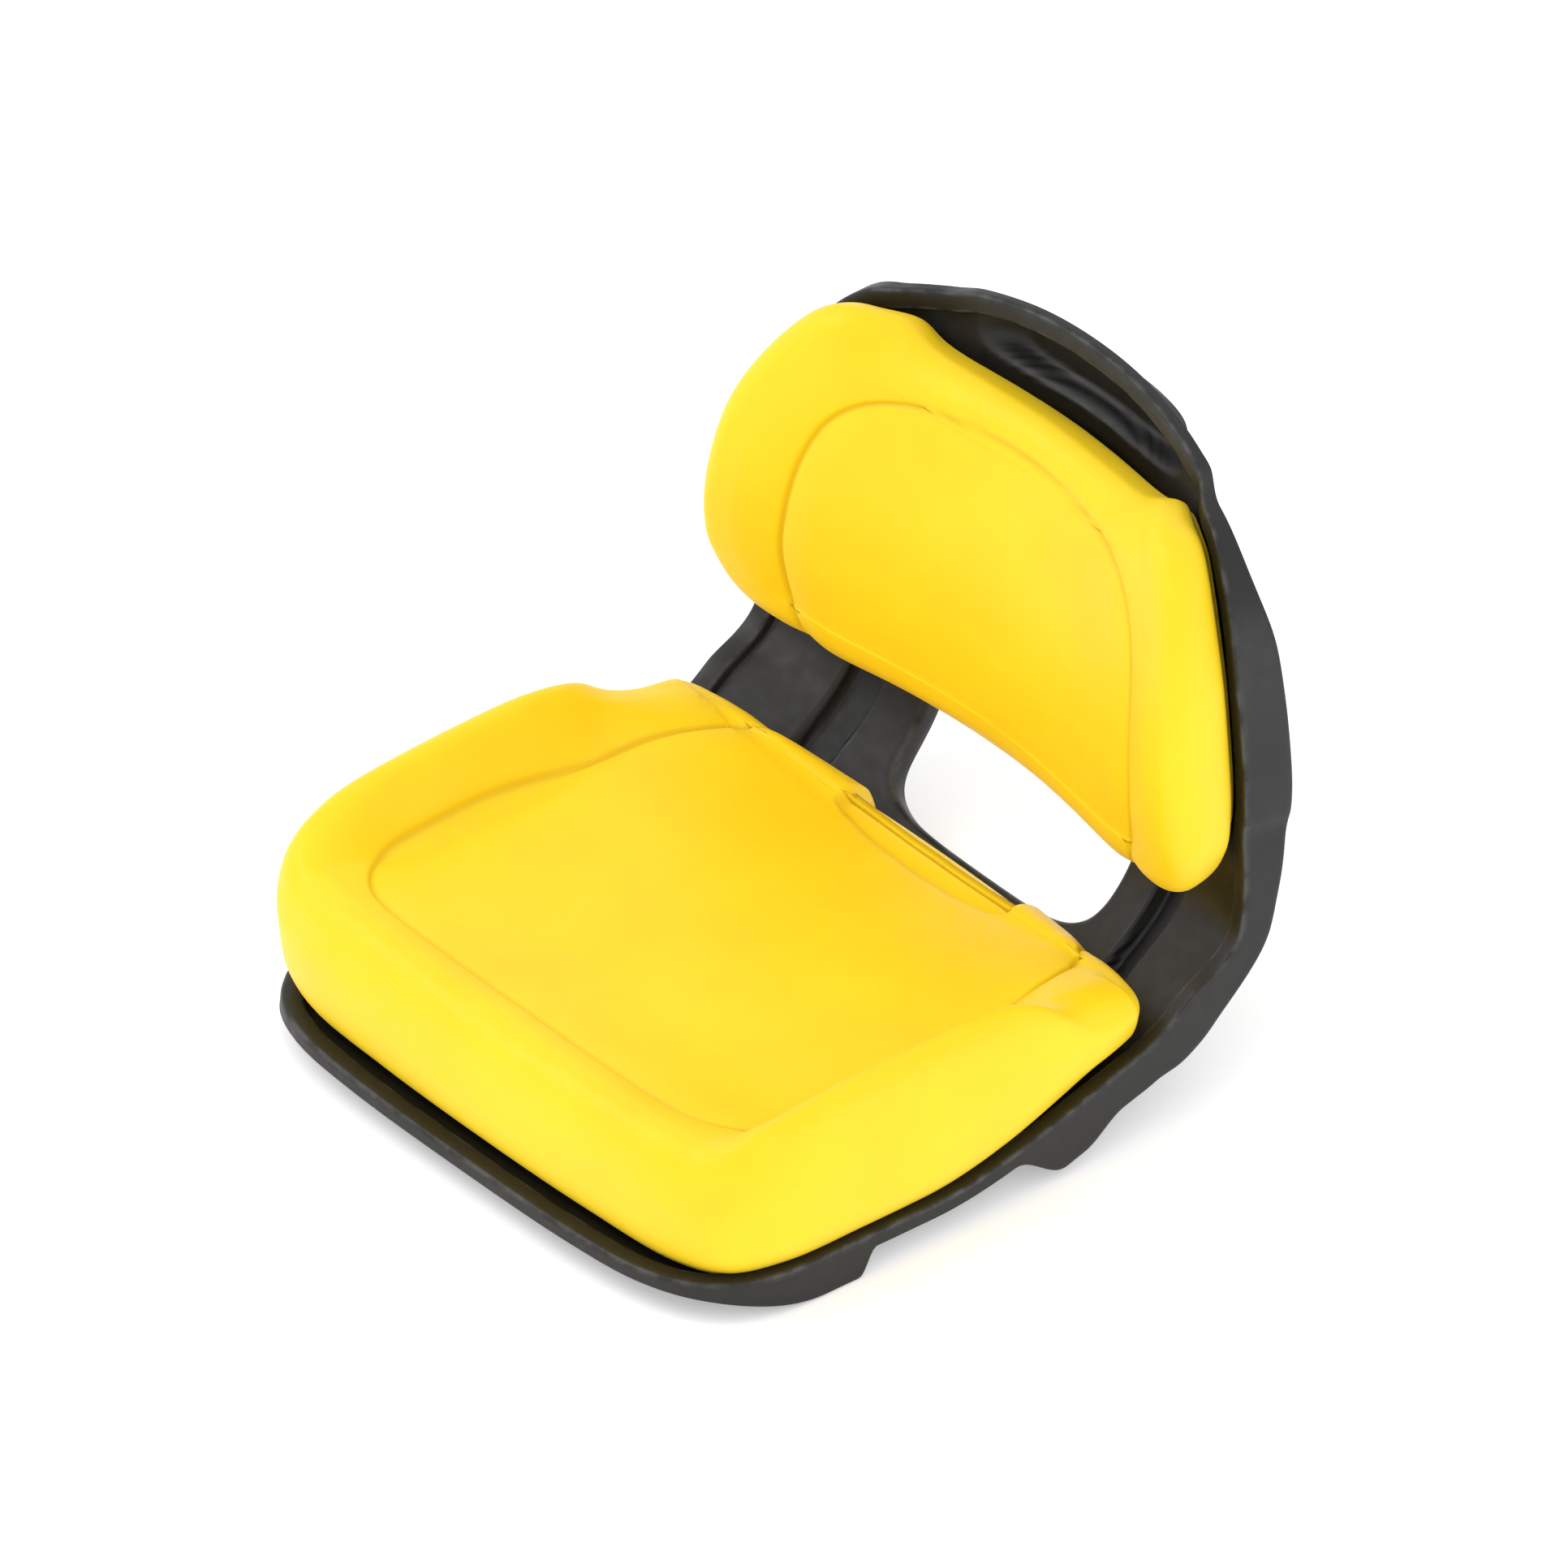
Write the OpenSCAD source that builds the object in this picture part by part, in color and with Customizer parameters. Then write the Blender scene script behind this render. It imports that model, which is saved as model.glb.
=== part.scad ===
// Open-back seat for a riding machine.
// One moulded shell carries two separate cushions, a sprung seat switch and four threaded inserts.
// The shell is drawn flat (x across, s along the middle line, n out of its inner face) and bent by
// place(): level under the seat, round the bend, then up the backrest, with the sides wrapping forward.

/* [Shell] */
// Width of the shell over its rim
shell_w = 496; // [456:2:536]
// Depth of the level part, from the front edge to the start of the bend
pan_depth = 388; // [360:2:420]
// Height of the top of the backrest above the mounting plane
shell_h = 434; // [400:2:480]
// Lean of the backrest back from upright, in degrees
recline = 8; // [4:1:14]
// Radius of the bend between seat and backrest
bend_r = 131; // [115:1:150]
// Wall thickness of the moulding
wall = 3.6; // [3:0.2:5]
// Width of the raised rim around the cushions
rim_w = 16; // [12:1:20]
// Height of the raised rim above the inner face
rim_h = 8; // [5:0.5:10]

/* [Window] */
// Half of the width of the window behind the sitter
window_half_w = 106; // [88:1:112]
// Height of the window, measured along the shell
window_len = 147; // [120:1:156]

/* [Cushions] */
// Thickness of the seat cushion at its side bolsters
seat_pad_h = 130; // [108:1:140]
// Thickness of the back cushion at its side bolsters
back_pad_h = 78; // [66:1:90]
// Thickness of the vinyl covers
skin = 1.4; // [1:0.1:2]
// Thickness of the two cushion boards
board_t = 9; // [6:0.5:10]

/* [Mounting] */
// Spacing of the four inserts across the seat
bolt_x = 285.75; // [240:0.25:300]
// Spacing of the four inserts from front to back
bolt_y = 260.35; // [220:0.25:280]
// Thread radius of the inserts
bolt_r = 4; // [3:0.5:5]

/* [Switch] */
// Travel of the seat switch plunger
switch_travel = 4; // [3:0.5:5]
// Radius of the seat switch plunger
plunger_r = 8; // [7:0.5:9]

/* [Hidden] */
$fn = 48;

shell_black = "#2c2b2a";
vinyl_yellow = "#f2d821";
foam_cream = "#d9cfa8";
board_brown = "#8a6a44";
steel = "#b9bcc0";
brass = "#c2a14a";
plastic_grey = "#55585c";
gap = 0.3;
eps = 0.01;

// Level part, bend and backrest along the middle line
front_rise = 4;
pan_z = 16;
bend_angle = 90 - recline;
front_y = -pan_depth * 0.732;
bend_y = front_y + pan_depth;
bend_len = bend_r * bend_angle * PI / 180;
back_s = pan_depth + bend_len;
back_z = pan_z + bend_r * (1 - cos(bend_angle));
back_y = bend_y + bend_r * sin(bend_angle);
back_len = (shell_h - back_z - rim_h * sin(recline)) / sin(bend_angle);
half_w = shell_w / 2;

// Wrap of the sides towards the sitter, as the curvature across the shell
wrap_front = 0.0001;
wrap_bend = 0.0015;
wrap_low_back = 0.0010;
wrap_top = 0.0017;
wrap_ease = 300;

// Handle across the top: the middle of the shell is set back, with a pocket for the fingers
handle_half_w = 134;
handle_back = 11;
pocket_half_w = 98;
pocket_half_h = 19;
pocket_depth = 16;
pocket_s = back_s + back_len - 34;

// Upright channels either side of the window
channel_x = 157;
channel_half_w = 13;
channel_depth = 12;

// Heights over the shell of the underside of the cushions, and of where they swell over the rim
base_n = 4.2;
clear_n = rim_h + 2.5;

// Cushion boards: how far each one reaches from the middle of its cushion, and its height
seat_board_reach = [0.64, 0.78, 0.66];
back_board_reach = [0.56, 0.72, 0.72];
seat_board_z = 34;
back_board_n = 30;
hem_w = 12;

// Cushion screws, their posts in the shell and their nuts in the boards
seat_screw_x = 110;
seat_screw_s = [104, 318];
back_screw_x = 95;
back_screw_s = [back_s + 60, back_s + 180];
post_r = 10;
seat_post_z = 8;
back_post_n = 2;
screw_r = 3;
screw_head_r = 6;
screw_head_h = 3.6;
washer_r = 9;
washer_t = 1.6;
nut_r = 4.4;
nut_flange_r = 10;
nut_flange_t = 1.6;
fit = 0.1;

// Staples that hold the covers to the boards
staple_w = 10;
staple_leg = 6;
staple_wire = 1;
staple_count = 12;

// Inserts and their bosses
insert_r = 6.5;
insert_len = 13;
boss_r = 13;

// Switch, standing up through the level part of the shell
switch_y = -40;
switch_r = 13;
switch_wall = 2;
switch_base = 2.5;
cap_t = 2;
flange_r = 17;
flange_t = 2;
tab_w = 7;
tab_reach = 16.5;
blade_w = 4.8;
blade_t = 0.8;
blade_x = 5.5;
blade_z = 7.9;
blade_in = 6.5;
blade_out = 24;
shroud_out = 27;
stem_r = 3;
disc_r = 9;
disc_t = 0.8;
collar_t = 2;
plunger_chamfer = 1.5;
spring_r = 4.6;
spring_wire = 0.35;
spring_turns = 4.5;

// Smooth rise from 0 to 1
function ease(t) = let (c = min(max(t, 0), 1)) c * c * (3 - 2 * c);

// Curvature across the shell at a distance s along it
function wrap_rate(s) =
    wrap_front
    + (wrap_bend - wrap_front) * ease((s - 0.52 * pan_depth) / (0.70 * pan_depth))
    - (wrap_bend - wrap_low_back) * ease((s - back_s + 105) / 90)
    + (wrap_top - wrap_low_back) * ease((s - back_s + 15) / (0.86 * back_len));

// Amount by which the handle area stands back
function handle_set_back(x, s) =
    handle_back * pow(min(abs(x), handle_half_w) / handle_half_w, 2)
    * ease((handle_half_w + 30 - abs(x)) / 40) * ease((s - back_s - back_len + 75) / 40);

function lift(x, s) =
    wrap_rate(s) * x * x / (1 + pow(x / wrap_ease, 2)) - handle_set_back(x, s);

// Slope angle of the middle line at s
function slope(s) = min(max((s - pan_depth) / bend_r * 180 / PI, 0), bend_angle);

// Bends a flat point (x, s, n) into place
function place(p) =
    let (
        x = p[0],
        s = p[1],
        a = slope(s),
        past = max(s - back_s, 0),
        h = p[2] + lift(x, s),
        y = (s < pan_depth ? front_y + s : bend_y + bend_r * sin(a)) + past * cos(bend_angle),
        z = pan_z + front_rise * (1 - ease(s / pan_depth)) + bend_r * (1 - cos(a))
            + past * sin(bend_angle)
    )
    [x, y - h * sin(a), z + h * cos(a)];

// Smooth closed curve through a list of points, with `per` steps between neighbours
function curve(points, per) = [
    for (i = [0 : len(points) - 1])
        let (
            n = len(points),
            a = points[(i + n - 1) % n],
            b = points[i],
            c = points[(i + 1) % n],
            d = points[(i + 2) % n]
        )
        for (k = [0 : per - 1])
            let (t = k / per)
            0.5 * (2 * b + (c - a) * t + (2 * a - 5 * b + 4 * c - d) * t * t
                + (3 * b - a - 3 * c + d) * t * t * t)
];

// The right half of an outline, from the front or bottom middle round to the top middle, made whole
function both_sides(half) = concat(
    half,
    [for (i = [len(half) - 2 : -1 : 1]) [-half[i][0], half[i][1]]]
);

// Points moved inwards by a distance, square to a closed outline that runs anticlockwise
function inset(points, distance) = [
    for (i = [0 : len(points) - 1])
        let (
            n = len(points),
            d = points[(i + 1) % n] - points[(i + n - 1) % n]
        )
        points[i] + distance * [-d[1], d[0]] / norm(d)
];

// The two triangles between neighbouring rings. The diagonal swaps at ring `turn`, where a wall
// folds back on itself, and from one side of the seat to the other, so that both faces of a wall
// and both sides of the seat match.
function quad(i, j, m, n, turn) =
    let (
        a = i * n + j,
        b = i * n + (j + 1) % n,
        c = ((i + 1) % m) * n + (j + 1) % n,
        d = ((i + 1) % m) * n + j
    )
    (i < turn) != (j < n / 2) ? [[a, b, c], [a, c, d]] : [[a, b, d], [b, c, d]];

// A surface of rings, closed round and along: every ring has the same number of points
module ring_tube(rings, turn) {
    n = len(rings[0]);
    m = len(rings);
    polyhedron(
        points = [for (ring = rings) each ring],
        faces = [for (i = [0 : m - 1]) for (j = [0 : n - 1]) each quad(i, j, m, n, turn)],
        convexity = 8
    );
}

// A surface of rings that ends in a point at each end
module ring_pod(rings, first, last, turn) {
    n = len(rings[0]);
    m = len(rings);
    polyhedron(
        points = concat([for (ring = rings) each ring], [first, last]),
        faces = concat(
            [for (i = [0 : m - 2]) for (j = [0 : n - 1]) each quad(i, j, m, n, turn)],
            [for (j = [0 : n - 1]) [m * n, (j + 1) % n, j]],
            [for (j = [0 : n - 1]) [m * n + 1, (m - 1) * n + j, (m - 1) * n + (j + 1) % n]]
        ),
        convexity = 8
    );
}

// ---- Shell ----

// Height on the backrest, as a share of its straight length
function up(share) = back_s + share * back_len;

shell_half = [
    [0, 0], [0.44 * half_w, 1], [0.71 * half_w, 8], [0.88 * half_w, 30], [0.97 * half_w, 72],
    [0.99 * half_w, 140], [half_w, 0.64 * pan_depth], [half_w, 0.9 * pan_depth],
    [half_w, pan_depth + 0.3 * bend_len], [half_w, pan_depth + 0.7 * bend_len],
    [half_w, up(0.08)], [0.985 * half_w, up(0.2)], [0.995 * half_w, up(0.27)],
    [0.985 * half_w, up(0.4)], [0.95 * half_w, up(0.55)], [0.89 * half_w, up(0.7)],
    [0.81 * half_w, up(0.80)], [0.72 * half_w, up(0.872)], [0.62 * half_w, up(0.905)],
    [0.52 * half_w, up(0.925)], [0.41 * half_w, up(0.962)], [0.22 * half_w, up(0.992)],
    [0, up(1)],
];
shell_outline = curve(both_sides(shell_half), 3);
window_mid = [0, pan_depth + 0.41 * bend_len + window_len / 2];

// Point of the rounded window edge that faces an outline point, grown by `grow`
function window_point(p, grow) =
    let (
        d = p - window_mid,
        a = window_half_w + grow,
        b = window_len / 2 + grow,
        reach = pow(pow(abs(d[0]) / a, 5) + pow(abs(d[1]) / b, 5), -1 / 5)
    )
    window_mid + d * reach;

// Depth of the side wall below the rim, which leaves a scallop and a lug along each side and
// draws in round the bend
function wall_depth(s) =
    s < 0.7 * pan_depth
        ? 10 + 20 * ease(s / 110) - 19 * ease((s - 138) / 16)
        : 11 + 29 * ease((s - 0.705 * pan_depth) / 44)
            - 10 * ease((s - 0.86 * pan_depth) / 34)
            + 10 * ease((s - pan_depth - 10) / 60)
            - 14 * ease((s - back_s + 120) / 60) * ease((back_s + 70 - s) / 60)
            - 11 * ease((s - up(0.55)) / (0.35 * back_len))
            - 21 * ease((s - up(0.74)) / (0.14 * back_len));

// Relief of the inner face: the channels and the finger pocket
function relief(x, s) =
    -channel_depth * ease((channel_half_w + 4 - abs(abs(x) - channel_x)) / 8)
        * ease((s - pan_depth - 8) / 30) * ease((up(0.35) - s) / 30)
    - pocket_depth
        * ease(1.9 - 1.6 * sqrt(pow(x / pocket_half_w, 4) + pow((s - pocket_s) / pocket_half_h, 4)));

face_steps = 9;
// Sideways spread of the side wall over its depth
draft = 0.08;

// Rings of the shell, from the window over the inner face, rim and side wall and back behind
function shell_face(share, n) = [
    for (i = [0 : len(shell_outline) - 1])
        let (
            rim = inset(shell_outline, rim_w)[i],
            edge = window_point(shell_outline[i], 5),
            p = edge + (rim - edge) * share
        )
        place([p[0], p[1], n + relief(p[0], p[1])])
];
function shell_window(grow, n) = [
    for (q = shell_outline)
        let (p = window_point(q, grow))
        place([p[0], p[1], n])
];
function shell_rim(distance, n) = [
    for (p = inset(shell_outline, distance)) place([p[0], p[1], n])
];
function shell_skirt(distance, share) = [
    for (i = [0 : len(shell_outline) - 1])
        let (
            depth = wall_depth(shell_outline[i][1]),
            p = inset(shell_outline, distance - draft * share * depth)[i]
        )
        place([p[0], p[1], rim_h - share * depth])
];

shell_rings = concat(
    [
        shell_window(wall, -16), shell_window(0, -16), shell_window(0, -6), shell_window(1.5, -1.5),
    ],
    [for (k = [0 : face_steps]) shell_face(1 - pow(1 - k / face_steps, 1.3), 0)],
    [
        shell_rim(rim_w - 5, rim_h), shell_rim(4, rim_h), shell_rim(1, rim_h - 1), shell_rim(0, rim_h - 4),
        shell_skirt(0, 0.75), shell_skirt(0, 1), shell_skirt(wall, 1), shell_skirt(wall, 0.7),
        shell_rim(wall, rim_h - wall - 3), shell_rim(5 + wall, rim_h - wall),
    ],
    [for (k = [face_steps : -1 : 1]) shell_face(1 - pow(1 - k / face_steps, 1.3), -wall)],
    [shell_window(wall + 1, -wall - 2)]
);

module at_seat_screws() {
    for (side = [-1, 1])
        for (s = seat_screw_s)
            translate([side * seat_screw_x, front_y + s, 0])
                children();
}

// A place on the flat face that the backrest bends from: z runs square out of it, to the sitter
module on_back(x, s, n) {
    translate([x, back_y + (s - back_s) * cos(bend_angle), back_z + (s - back_s) * sin(bend_angle)])
        rotate([bend_angle, 0, 0])
            translate([0, 0, n])
                children();
}

module at_back_screws() {
    for (side = [-1, 1])
        for (s = back_screw_s)
            on_back(side * back_screw_x, s, 0)
                children();
}

module at_inserts() {
    for (sx = [-1, 1])
        for (sy = [-1, 1])
            translate([sx * bolt_x / 2, sy * bolt_y / 2, 0])
                children();
}

// Height of the inner face of the level part
function pan_top(x, y) = place([x, y - front_y, 0])[2];

switch_pan = pan_top(0, switch_y);
disc_z = blade_z + blade_t + gap + switch_travel;
collar_z = disc_z + disc_t + 6;
switch_top = collar_z + collar_t + fit + switch_wall;

// Square-cornered slots that let the switch tabs through the shell
module tab_slots(width, reach, height) {
    translate([-reach, -width / 2, 0])
        cube([2 * reach, width, height]);
}

module seat_shell() {
    color(shell_black)
        difference() {
            union() {
                ring_tube(shell_rings, face_steps + 9);
                for (sx = [-1, 1])
                    for (sy = [-1, 1])
                        translate([sx * bolt_x / 2, sy * bolt_y / 2, 0])
                            cylinder(r = boss_r, h = pan_top(bolt_x / 2 - boss_r, sy * bolt_y / 2) - eps);
                at_seat_screws()
                    translate([0, 0, seat_post_z])
                        cylinder(r = post_r, h = seat_board_z - seat_post_z);
                at_back_screws()
                    translate([0, 0, back_post_n])
                        cylinder(r = post_r, h = back_board_n - back_post_n);
            }
            at_inserts()
                translate([0, 0, -eps])
                    cylinder(r = insert_r, h = insert_len + eps);
            at_seat_screws()
                cylinder(r = screw_r + gap, h = seat_board_z + 1);
            at_back_screws()
                translate([0, 0, back_post_n - 1])
                    cylinder(r = screw_r + gap, h = back_board_n - back_post_n + 2);
            translate([0, switch_y, 0]) {
                cylinder(r = switch_r + gap, h = 2 * switch_pan);
                tab_slots(tab_w + 1, tab_reach + gap, 2 * switch_pan);
            }
        }
}

module mount_inserts() {
    color(brass)
        at_inserts()
            difference() {
                cylinder(r = insert_r, h = insert_len);
                translate([0, 0, -1])
                    cylinder(r = bolt_r, h = insert_len + 2);
            }
}

// ---- Cushions ----

seat_half = [
    [0, 8], [0.42 * half_w, 9], [0.73 * half_w, 14], [0.925 * half_w, 36], [1.003 * half_w, 84],
    [1.018 * half_w, 150], [1.02 * half_w, 230], [1.0 * half_w, 0.82 * pan_depth],
    [0.95 * half_w, pan_depth + 12], [0.84 * half_w, pan_depth + 44],
    [0.66 * half_w, pan_depth + 61], [0.36 * half_w, pan_depth + 75], [0, pan_depth + 79],
];
back_half = [
    [0, back_s - 4], [0.36 * half_w, back_s - 3], [0.62 * half_w, back_s - 1],
    [0.86 * half_w, back_s + 15], [0.965 * half_w, up(0.16)], [0.985 * half_w, up(0.28)],
    [0.965 * half_w, up(0.44)], [0.92 * half_w, up(0.6)], [0.82 * half_w, up(0.765)],
    [0.71 * half_w, up(0.868)], [0.56 * half_w, up(0.888)], [0.42 * half_w, up(0.85)],
    [0.2 * half_w, up(0.84)], [0, up(0.84)],
];
seat_outline = curve(both_sides(seat_half), 2);
back_outline = curve(both_sides(back_half), 2);
seat_mid = [0, 0.52 * pan_depth];
back_mid = [0, up(0.38)];

// Height of the seat cushion over the shell: full at the thighs, low at the back, dished between
function seat_crown(x, s) =
    let (
        bolster = 1.03 - 0.81 * ease((s - 0.65 * pan_depth) / (0.475 * pan_depth)),
        middle = 1 - 0.35 * ease((s - 20) / 90)
            - 0.26 * ease((s - 0.60 * pan_depth) / (0.60 * pan_depth)),
        side = 1 - ease((0.93 * half_w - abs(x)) / (0.15 * half_w))
    )
    seat_pad_h * (1 - 0.13 * ease((110 - s) / 110)) * (middle + (bolster - middle) * side);

// Height of the back cushion over the shell
function back_crown(x, s) =
    let (
        along = 1 - 0.24 * ease((up(0.30) - s) / (0.40 * back_len))
            - 0.22 * ease((s - up(0.35)) / (0.5 * back_len)),
        across = 1 - 0.10 * ease((0.95 * half_w - abs(x)) / (0.3 * half_w))
    )
    back_pad_h * along * across;

// Side of a cushion from its base to its crown: distance in from the widest line, height over the
// shell, and share of the height that is left above that
pad_side = [
    [21, base_n, 0], [20, rim_h - 1, 0], [14.5, clear_n, 0], [8, clear_n, 0.09], [4, clear_n, 0.22],
    [1, clear_n, 0.42], [0, clear_n, 0.6], [3.5, clear_n, 0.78], [9.5, clear_n, 0.9],
    [18, clear_n, 0.97], [32, clear_n, 1],
];
pad_steps = [0.82, 0.6, 0.36, 0.14];

// Rings of a cushion surface, `shrink` inside the outer one, from its base to near its middle
function pad_rings(outline, mid, seat, shrink) = concat(
    [
        for (step = pad_side)
            [
                for (p = inset(outline, step[0] + shrink))
                    let (h = seat ? seat_crown(p[0], p[1]) : back_crown(p[0], p[1]))
                    place([
                        p[0], p[1],
                        step[1] + step[2] * (h - clear_n) + shrink * (step[1] < rim_h ? 1 : 1 - 2 * step[2])
                    ])
            ]
    ],
    [
        for (share = pad_steps)
            [
                for (q = inset(outline, 32 + shrink))
                    let (
                        p = mid + (q - mid) * share,
                        h = seat ? seat_crown(p[0], p[1]) : back_crown(p[0], p[1])
                    )
                    place([p[0], p[1], h - shrink])
            ]
    ]
);

// Middle of the cushion top
function pad_top(mid, seat, shrink) =
    place([mid[0], mid[1], (seat ? seat_crown(mid[0], mid[1]) : back_crown(mid[0], mid[1])) - shrink]);

function reversed(list) = [for (i = [len(list) - 1 : -1 : 0]) list[i]];

// Outline of a cushion board: the cushion's own, drawn in towards its middle
function board_outline(outline, mid, reach) = [
    for (q = outline)
        [q[0] * reach[0], mid[1] + (q[1] - mid[1]) * (q[1] < mid[1] ? reach[1] : reach[2])]
];
seat_board_outline = board_outline(seat_outline, seat_mid, seat_board_reach);
back_board_outline = board_outline(back_outline, back_mid, back_board_reach);

// A ring over a board, `grow` outside its outline and `n` above its underside
function board_ring(seat, grow, n) = [
    for (p = inset(seat ? seat_board_outline : back_board_outline, -grow))
        seat
            ? [p[0], front_y + p[1], seat_board_z + n]
            : place([p[0], p[1], back_board_n + n - lift(p[0], p[1])])
];
function board_mid(seat, n) =
    seat
        ? [0, front_y + seat_mid[1], seat_board_z + n]
        : place([0, back_mid[1], back_board_n + n]);

// Vinyl cover, drawn round the sides of its cushion and under the edge of its board
module cushion_cover(outline, mid, seat) {
    color(vinyl_yellow)
        ring_pod(
            concat(
                reversed(pad_rings(outline, mid, seat, 0)),
                [
                    board_ring(seat, gap, -skin - gap), board_ring(seat, -hem_w, -skin - gap),
                    board_ring(seat, -hem_w, -gap), board_ring(seat, gap, -gap),
                ],
                pad_rings(outline, mid, seat, skin)
            ),
            pad_top(mid, seat, 0),
            pad_top(mid, seat, skin),
            len(pad_side) + len(pad_steps) + 1
        );
}

// Foam block with a pocket for its board
module cushion_foam(outline, mid, seat) {
    color(foam_cream)
        ring_pod(
            concat(
                reversed(pad_rings(outline, mid, seat, skin + gap)),
                [board_ring(seat, gap, 0), board_ring(seat, gap, board_t + gap)]
            ),
            pad_top(mid, seat, skin + gap),
            board_mid(seat, board_t + gap),
            len(pad_side) + len(pad_steps) + 2
        );
}

// Countersunk seat and clearance hole for a tee nut, measured from the underside of a board
module nut_hole() {
    translate([0, 0, -1])
        cylinder(r = nut_r + fit, h = board_t + 2);
    translate([0, 0, board_t - nut_flange_t - fit])
        cylinder(r = nut_flange_r + gap, h = nut_flange_t + 1);
}

module tee_nut() {
    difference() {
        union() {
            cylinder(r = nut_r, h = board_t - fit);
            translate([0, 0, board_t - nut_flange_t - fit])
                cylinder(r = nut_flange_r, h = nut_flange_t);
        }
        translate([0, 0, -1])
            cylinder(r = screw_r + fit, h = board_t + 2);
    }
}

// Pan-head screw whose head bears at z = 0
module cushion_screw(length) {
    translate([0, 0, -screw_head_h])
        difference() {
            cylinder(r1 = screw_head_r - 1, r2 = screw_head_r, h = screw_head_h);
            translate([0, 0, -eps])
                cylinder(r = screw_r, h = 2, $fn = 6);
        }
    cylinder(r = screw_r, h = length);
}

module washer() {
    difference() {
        cylinder(r = washer_r, h = washer_t);
        translate([0, 0, -1])
            cylinder(r = screw_r + gap, h = washer_t + 2);
    }
}

// One staple: its crown lies under the hem and its legs run up into the board
module staple() {
    translate([-staple_w / 2, -staple_wire / 2, -skin - gap - staple_wire]) {
        cube([staple_w, staple_wire, staple_wire]);
        for (x = [0, staple_w - staple_wire])
            translate([x, 0, 0])
                cube([staple_wire, staple_wire, staple_wire + skin + gap + staple_leg]);
    }
}

// Staples spaced round a hem, each turned along the outline of the board
module staple_row(outline) {
    line = inset(outline, hem_w / 2);
    for (k = [0 : staple_count - 1]) {
        i = floor((k + 0.5) * len(line) / staple_count);
        p = line[i];
        d = line[(i + 1) % len(line)] - p;
        translate([p[0], p[1], 0])
            rotate([0, 0, atan2(d[1], d[0])])
                staple();
    }
}

module seat_cushion_cover() {
    cushion_cover(seat_outline, seat_mid, true);
}

module seat_cushion_foam() {
    cushion_foam(seat_outline, seat_mid, true);
}

module seat_cushion_board() {
    color(board_brown)
        difference() {
            translate([0, front_y, seat_board_z])
                linear_extrude(board_t)
                    polygon(seat_board_outline);
            at_seat_screws()
                translate([0, 0, seat_board_z])
                    nut_hole();
            translate([0, switch_y, seat_board_z - 1])
                cylinder(r = plunger_r + 3, h = board_t + 2);
        }
}

module seat_cushion_staples() {
    color(steel)
        translate([0, front_y, seat_board_z])
            staple_row(seat_board_outline);
}

module seat_cushion_tee_nuts() {
    color(steel)
        at_seat_screws()
            translate([0, 0, seat_board_z])
                tee_nut();
}

module seat_cushion_screws() {
    color(steel)
        at_seat_screws()
            translate([0, 0, seat_post_z - washer_t])
                cushion_screw(seat_board_z + board_t - 1 - seat_post_z + washer_t);
}

module seat_cushion_washers() {
    color(steel)
        at_seat_screws()
            translate([0, 0, seat_post_z - washer_t])
                washer();
}

module back_cushion_cover() {
    cushion_cover(back_outline, back_mid, false);
}

module back_cushion_foam() {
    cushion_foam(back_outline, back_mid, false);
}

module back_cushion_board() {
    color(board_brown)
        difference() {
            on_back(0, 0, back_board_n)
                linear_extrude(board_t)
                    polygon(back_board_outline);
            at_back_screws()
                translate([0, 0, back_board_n])
                    nut_hole();
        }
}

module back_cushion_staples() {
    color(steel)
        on_back(0, 0, back_board_n)
            staple_row(back_board_outline);
}

module back_cushion_tee_nuts() {
    color(steel)
        at_back_screws()
            translate([0, 0, back_board_n])
                tee_nut();
}

module back_cushion_screws() {
    color(steel)
        at_back_screws()
            translate([0, 0, back_post_n - washer_t])
                cushion_screw(back_board_n + board_t - 1 - back_post_n + washer_t);
}

module back_cushion_washers() {
    color(steel)
        at_back_screws()
            translate([0, 0, back_post_n - washer_t])
                washer();
}

// ---- Seat switch ----

module switch_housing() {
    color(plastic_grey)
        translate([0, switch_y, 0])
            difference() {
                union() {
                    translate([0, 0, switch_base])
                        cylinder(r = switch_r, h = switch_top - switch_base);
                    translate([0, 0, switch_pan - wall - flange_t - gap])
                        cylinder(r = flange_r, h = flange_t);
                    translate([0, 0, switch_pan + gap])
                        rotate([0, 0, 90])
                            tab_slots(tab_w, tab_reach, flange_t);
                    translate([-blade_x - blade_w, -shroud_out, switch_base])
                        cube([
                            2 * (blade_x + blade_w), shroud_out,
                            switch_pan - wall - flange_t - switch_base
                        ]);
                }
                translate([0, 0, switch_base - 1])
                    cylinder(r = switch_r - switch_wall, h = collar_z + collar_t + fit - switch_base + 1);
                cylinder(r = plunger_r + gap, h = 2 * switch_top);
                translate([-blade_x - blade_w + 1.5, -shroud_out - 1, switch_base + 1.5])
                    cube([
                        2 * (blade_x + blade_w - 1.5), shroud_out - switch_r - switch_wall,
                        switch_pan - wall - flange_t - switch_base - 3
                    ]);
                for (side = [-1, 1])
                    translate([side * blade_x - blade_w / 2 - fit, -shroud_out - 1, blade_z - fit])
                        cube([blade_w + 2 * fit, shroud_out, blade_t + 2 * fit]);
            }
}

module switch_cap() {
    color(plastic_grey)
        translate([0, switch_y, switch_base])
            cylinder(r = switch_r - switch_wall - fit, h = cap_t);
}

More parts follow.
